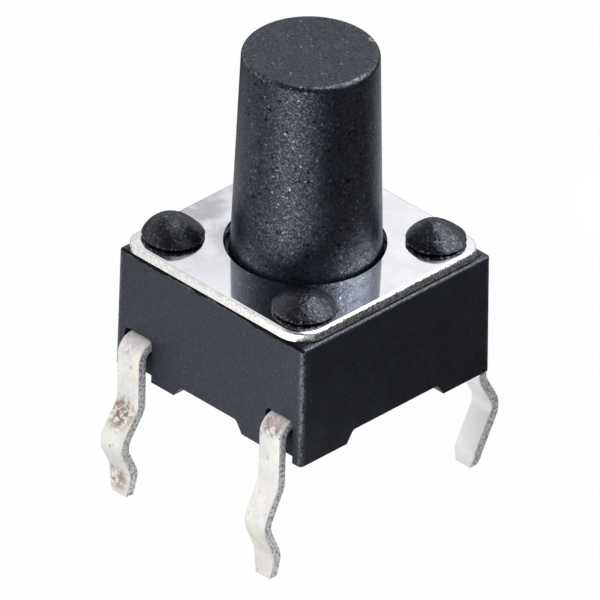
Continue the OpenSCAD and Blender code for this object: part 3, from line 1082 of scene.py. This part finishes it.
# The camera sees the floor white. What metal mirrors of it is dim, apart from pools of light: the
# middle of each, the distances from it where it is full and where it ends, and its strength
pool = 0.08
for centre, full, reach, strength in (
    ((-9, 8, 0), 9, 22, 0.98),
    ((-20, -7, 0), 6, 18, 4.2),
    ((15, 2, 0), 0, 13, 1.35),
    ((8, -16, 0), 1, 7, 0.8),
    ((1.5, 0, 0), 3.5, 5.5, 0.95),
    ((4.6, -4, 0), 1.4, 2.6, 1.0),
    ((-1.8, -4, 0), 1.4, 2.6, 0.9),
):
    from_pool = add_node(tree, "VectorMath", {0: place, 1: centre}, operation="DISTANCE")
    lit_here = add_ramp(tree, from_pool.outputs["Value"], full, reach, strength, 0.0)
    pool = add_math(tree, "MAXIMUM", lit_here, pool)
seen_pool = add_math(tree, "MAXIMUM", pool, rays.outputs["Is Camera Ray"])
glow = add_node(tree, "Emission", {"Color": (1, 1, 1, 1), "Strength": seen_pool})
glow_share = 0.98  # the rest of it takes the light, and the shadow of the switch
glowing = add_math(tree, "MULTIPLY", seen_white(tree, rays), glow_share)
lit = add_node(tree, "MixShader", {0: glowing})
tree.links.new(pale.outputs[0], lit.inputs[1])
tree.links.new(glow.outputs[0], lit.inputs[2])
clear = add_node(tree, "BsdfTransparent")
under = add_node(tree, "MixShader", {0: add_node(tree, "NewGeometry").outputs["Backfacing"]})
tree.links.new(lit.outputs[0], under.inputs[1])
tree.links.new(clear.outputs[0], under.inputs[2])
output = add_node(tree, "OutputMaterial")
tree.links.new(under.outputs[0], output.inputs["Surface"])
floor.data.materials.append(floor_white)

world = bpy.data.worlds.new("studio")
scene.world = world
world.use_nodes = True
tree = world.node_tree
tree.nodes.clear()
rays = add_node(tree, "LightPath")
ambient = add_node(tree, "Background", {"Color": (1, 1, 1, 1), "Strength": 0.2})
toward = add_node(tree, "TexCoord").outputs["Generated"]


def facing(tree, toward, azimuth, elevation, low, high):
    """1 for directions close to one, given in degrees, and 0 for those far from it."""
    turn, rise = math.radians(azimuth), math.radians(elevation)
    centre = (math.cos(rise) * math.cos(turn), math.cos(rise) * math.sin(turn), math.sin(rise))
    made = add_node(tree, "VectorMath", {0: toward, 1: centre}, operation="DOT_PRODUCT")
    return add_ramp(tree, made.outputs["Value"], low, high)


# The room that metal mirrors: a pale backdrop behind the switch, dim walls, and soft boxes, each
# with its direction, how near to it the box starts and is full, and its strength
upwards = add_node(tree, "SeparateXYZ", {"Vector": toward}).outputs["Z"]
below_top = add_ramp(tree, upwards, 0.78, 0.9, 1, 0)
backdrop = add_math(tree, "MULTIPLY", facing(tree, toward, 45, 15, 0.2, 0.55), below_top)
backdrop_strength = 0.8
wall_strength = 0.16
studio = add_math(tree, "MULTIPLY", backdrop, backdrop_strength)
studio = add_math(tree, "ADD", studio, wall_strength)
for azimuth, elevation, low, high, strength in (
    (-25, 66, 0.88, 0.97, 5.2),
    (-55, 33, 0.84, 0.94, 3.4),
    (140, 8, 0.85, 0.97, 1.6),
):
    soft_box = facing(tree, toward, azimuth, elevation, low, high)
    studio = add_math(tree, "ADD", add_math(tree, "MULTIPLY", soft_box, strength), studio)
dark_front = add_ramp(tree, facing(tree, toward, 225, 35, 0.62, 0.9), 0, 1, 1, 0.05)
studio = add_math(tree, "MULTIPLY", studio, dark_front)
seen_dome = add_math(tree, "MAXIMUM", studio, rays.outputs["Is Camera Ray"])
white = add_node(tree, "Background", {"Color": (1, 1, 1, 1), "Strength": seen_dome})
sky = add_node(tree, "MixShader", {0: seen_white(tree, rays)})
tree.links.new(ambient.outputs[0], sky.inputs[1])
tree.links.new(white.outputs[0], sky.inputs[2])
output = add_node(tree, "OutputWorld")
tree.links.new(sky.outputs[0], output.inputs["Surface"])

lamp_aim = Vector((0, 0, 3 * MM))
lamp_distance = 0.3


def add_lamp(name, azimuth, elevation, size, power):
    """Adds a square soft box that faces the switch, from a direction in degrees."""
    turn, rise = math.radians(azimuth), math.radians(elevation)
    toward = Vector(
        (math.cos(rise) * math.cos(turn), math.cos(rise) * math.sin(turn), math.sin(rise))
    )
    data = bpy.data.lights.new(name, "AREA")
    data.size = size
    data.energy = power
    lamp = bpy.data.objects.new(name, data)
    lamp.visible_glossy = False
    lamp.location = lamp_aim + toward * lamp_distance
    lamp.rotation_euler = toward.to_track_quat("Z", "Y").to_euler()
    scene.collection.objects.link(lamp)


add_lamp("key", azimuth=183, elevation=28, size=0.08, power=0.52)
add_lamp("low_fill", azimuth=195, elevation=7, size=0.05, power=0.12)
add_lamp("overhead", azimuth=200, elevation=65, size=0.1, power=0.15)
add_lamp("rim", azimuth=15, elevation=15, size=0.08, power=0.25)

# A long lens, from nearly half a metre away, held a little out of level
camera_azimuth = math.radians(45.225)
camera_elevation = math.radians(32.75)
camera_roll = math.radians(1.35)
camera_distance = 0.482
aim = Vector((-0.29, -0.166, 1.997)) * MM
toward_camera = Vector(
    (
        -math.cos(camera_elevation) * math.sin(camera_azimuth),
        -math.cos(camera_elevation) * math.cos(camera_azimuth),
        math.sin(camera_elevation),
    )
)
lens = bpy.data.cameras.new("camera")
lens.sensor_width = 36
lens.lens = 1266.6
lens.clip_start = 0.05
lens.clip_end = 10
camera = bpy.data.objects.new("camera", lens)
camera.location = aim + toward_camera * camera_distance
camera.rotation_euler = toward_camera.to_track_quat("Z", "Y").to_euler()
camera.rotation_euler.rotate_axis("Z", camera_roll)
scene.collection.objects.link(camera)
scene.camera = camera
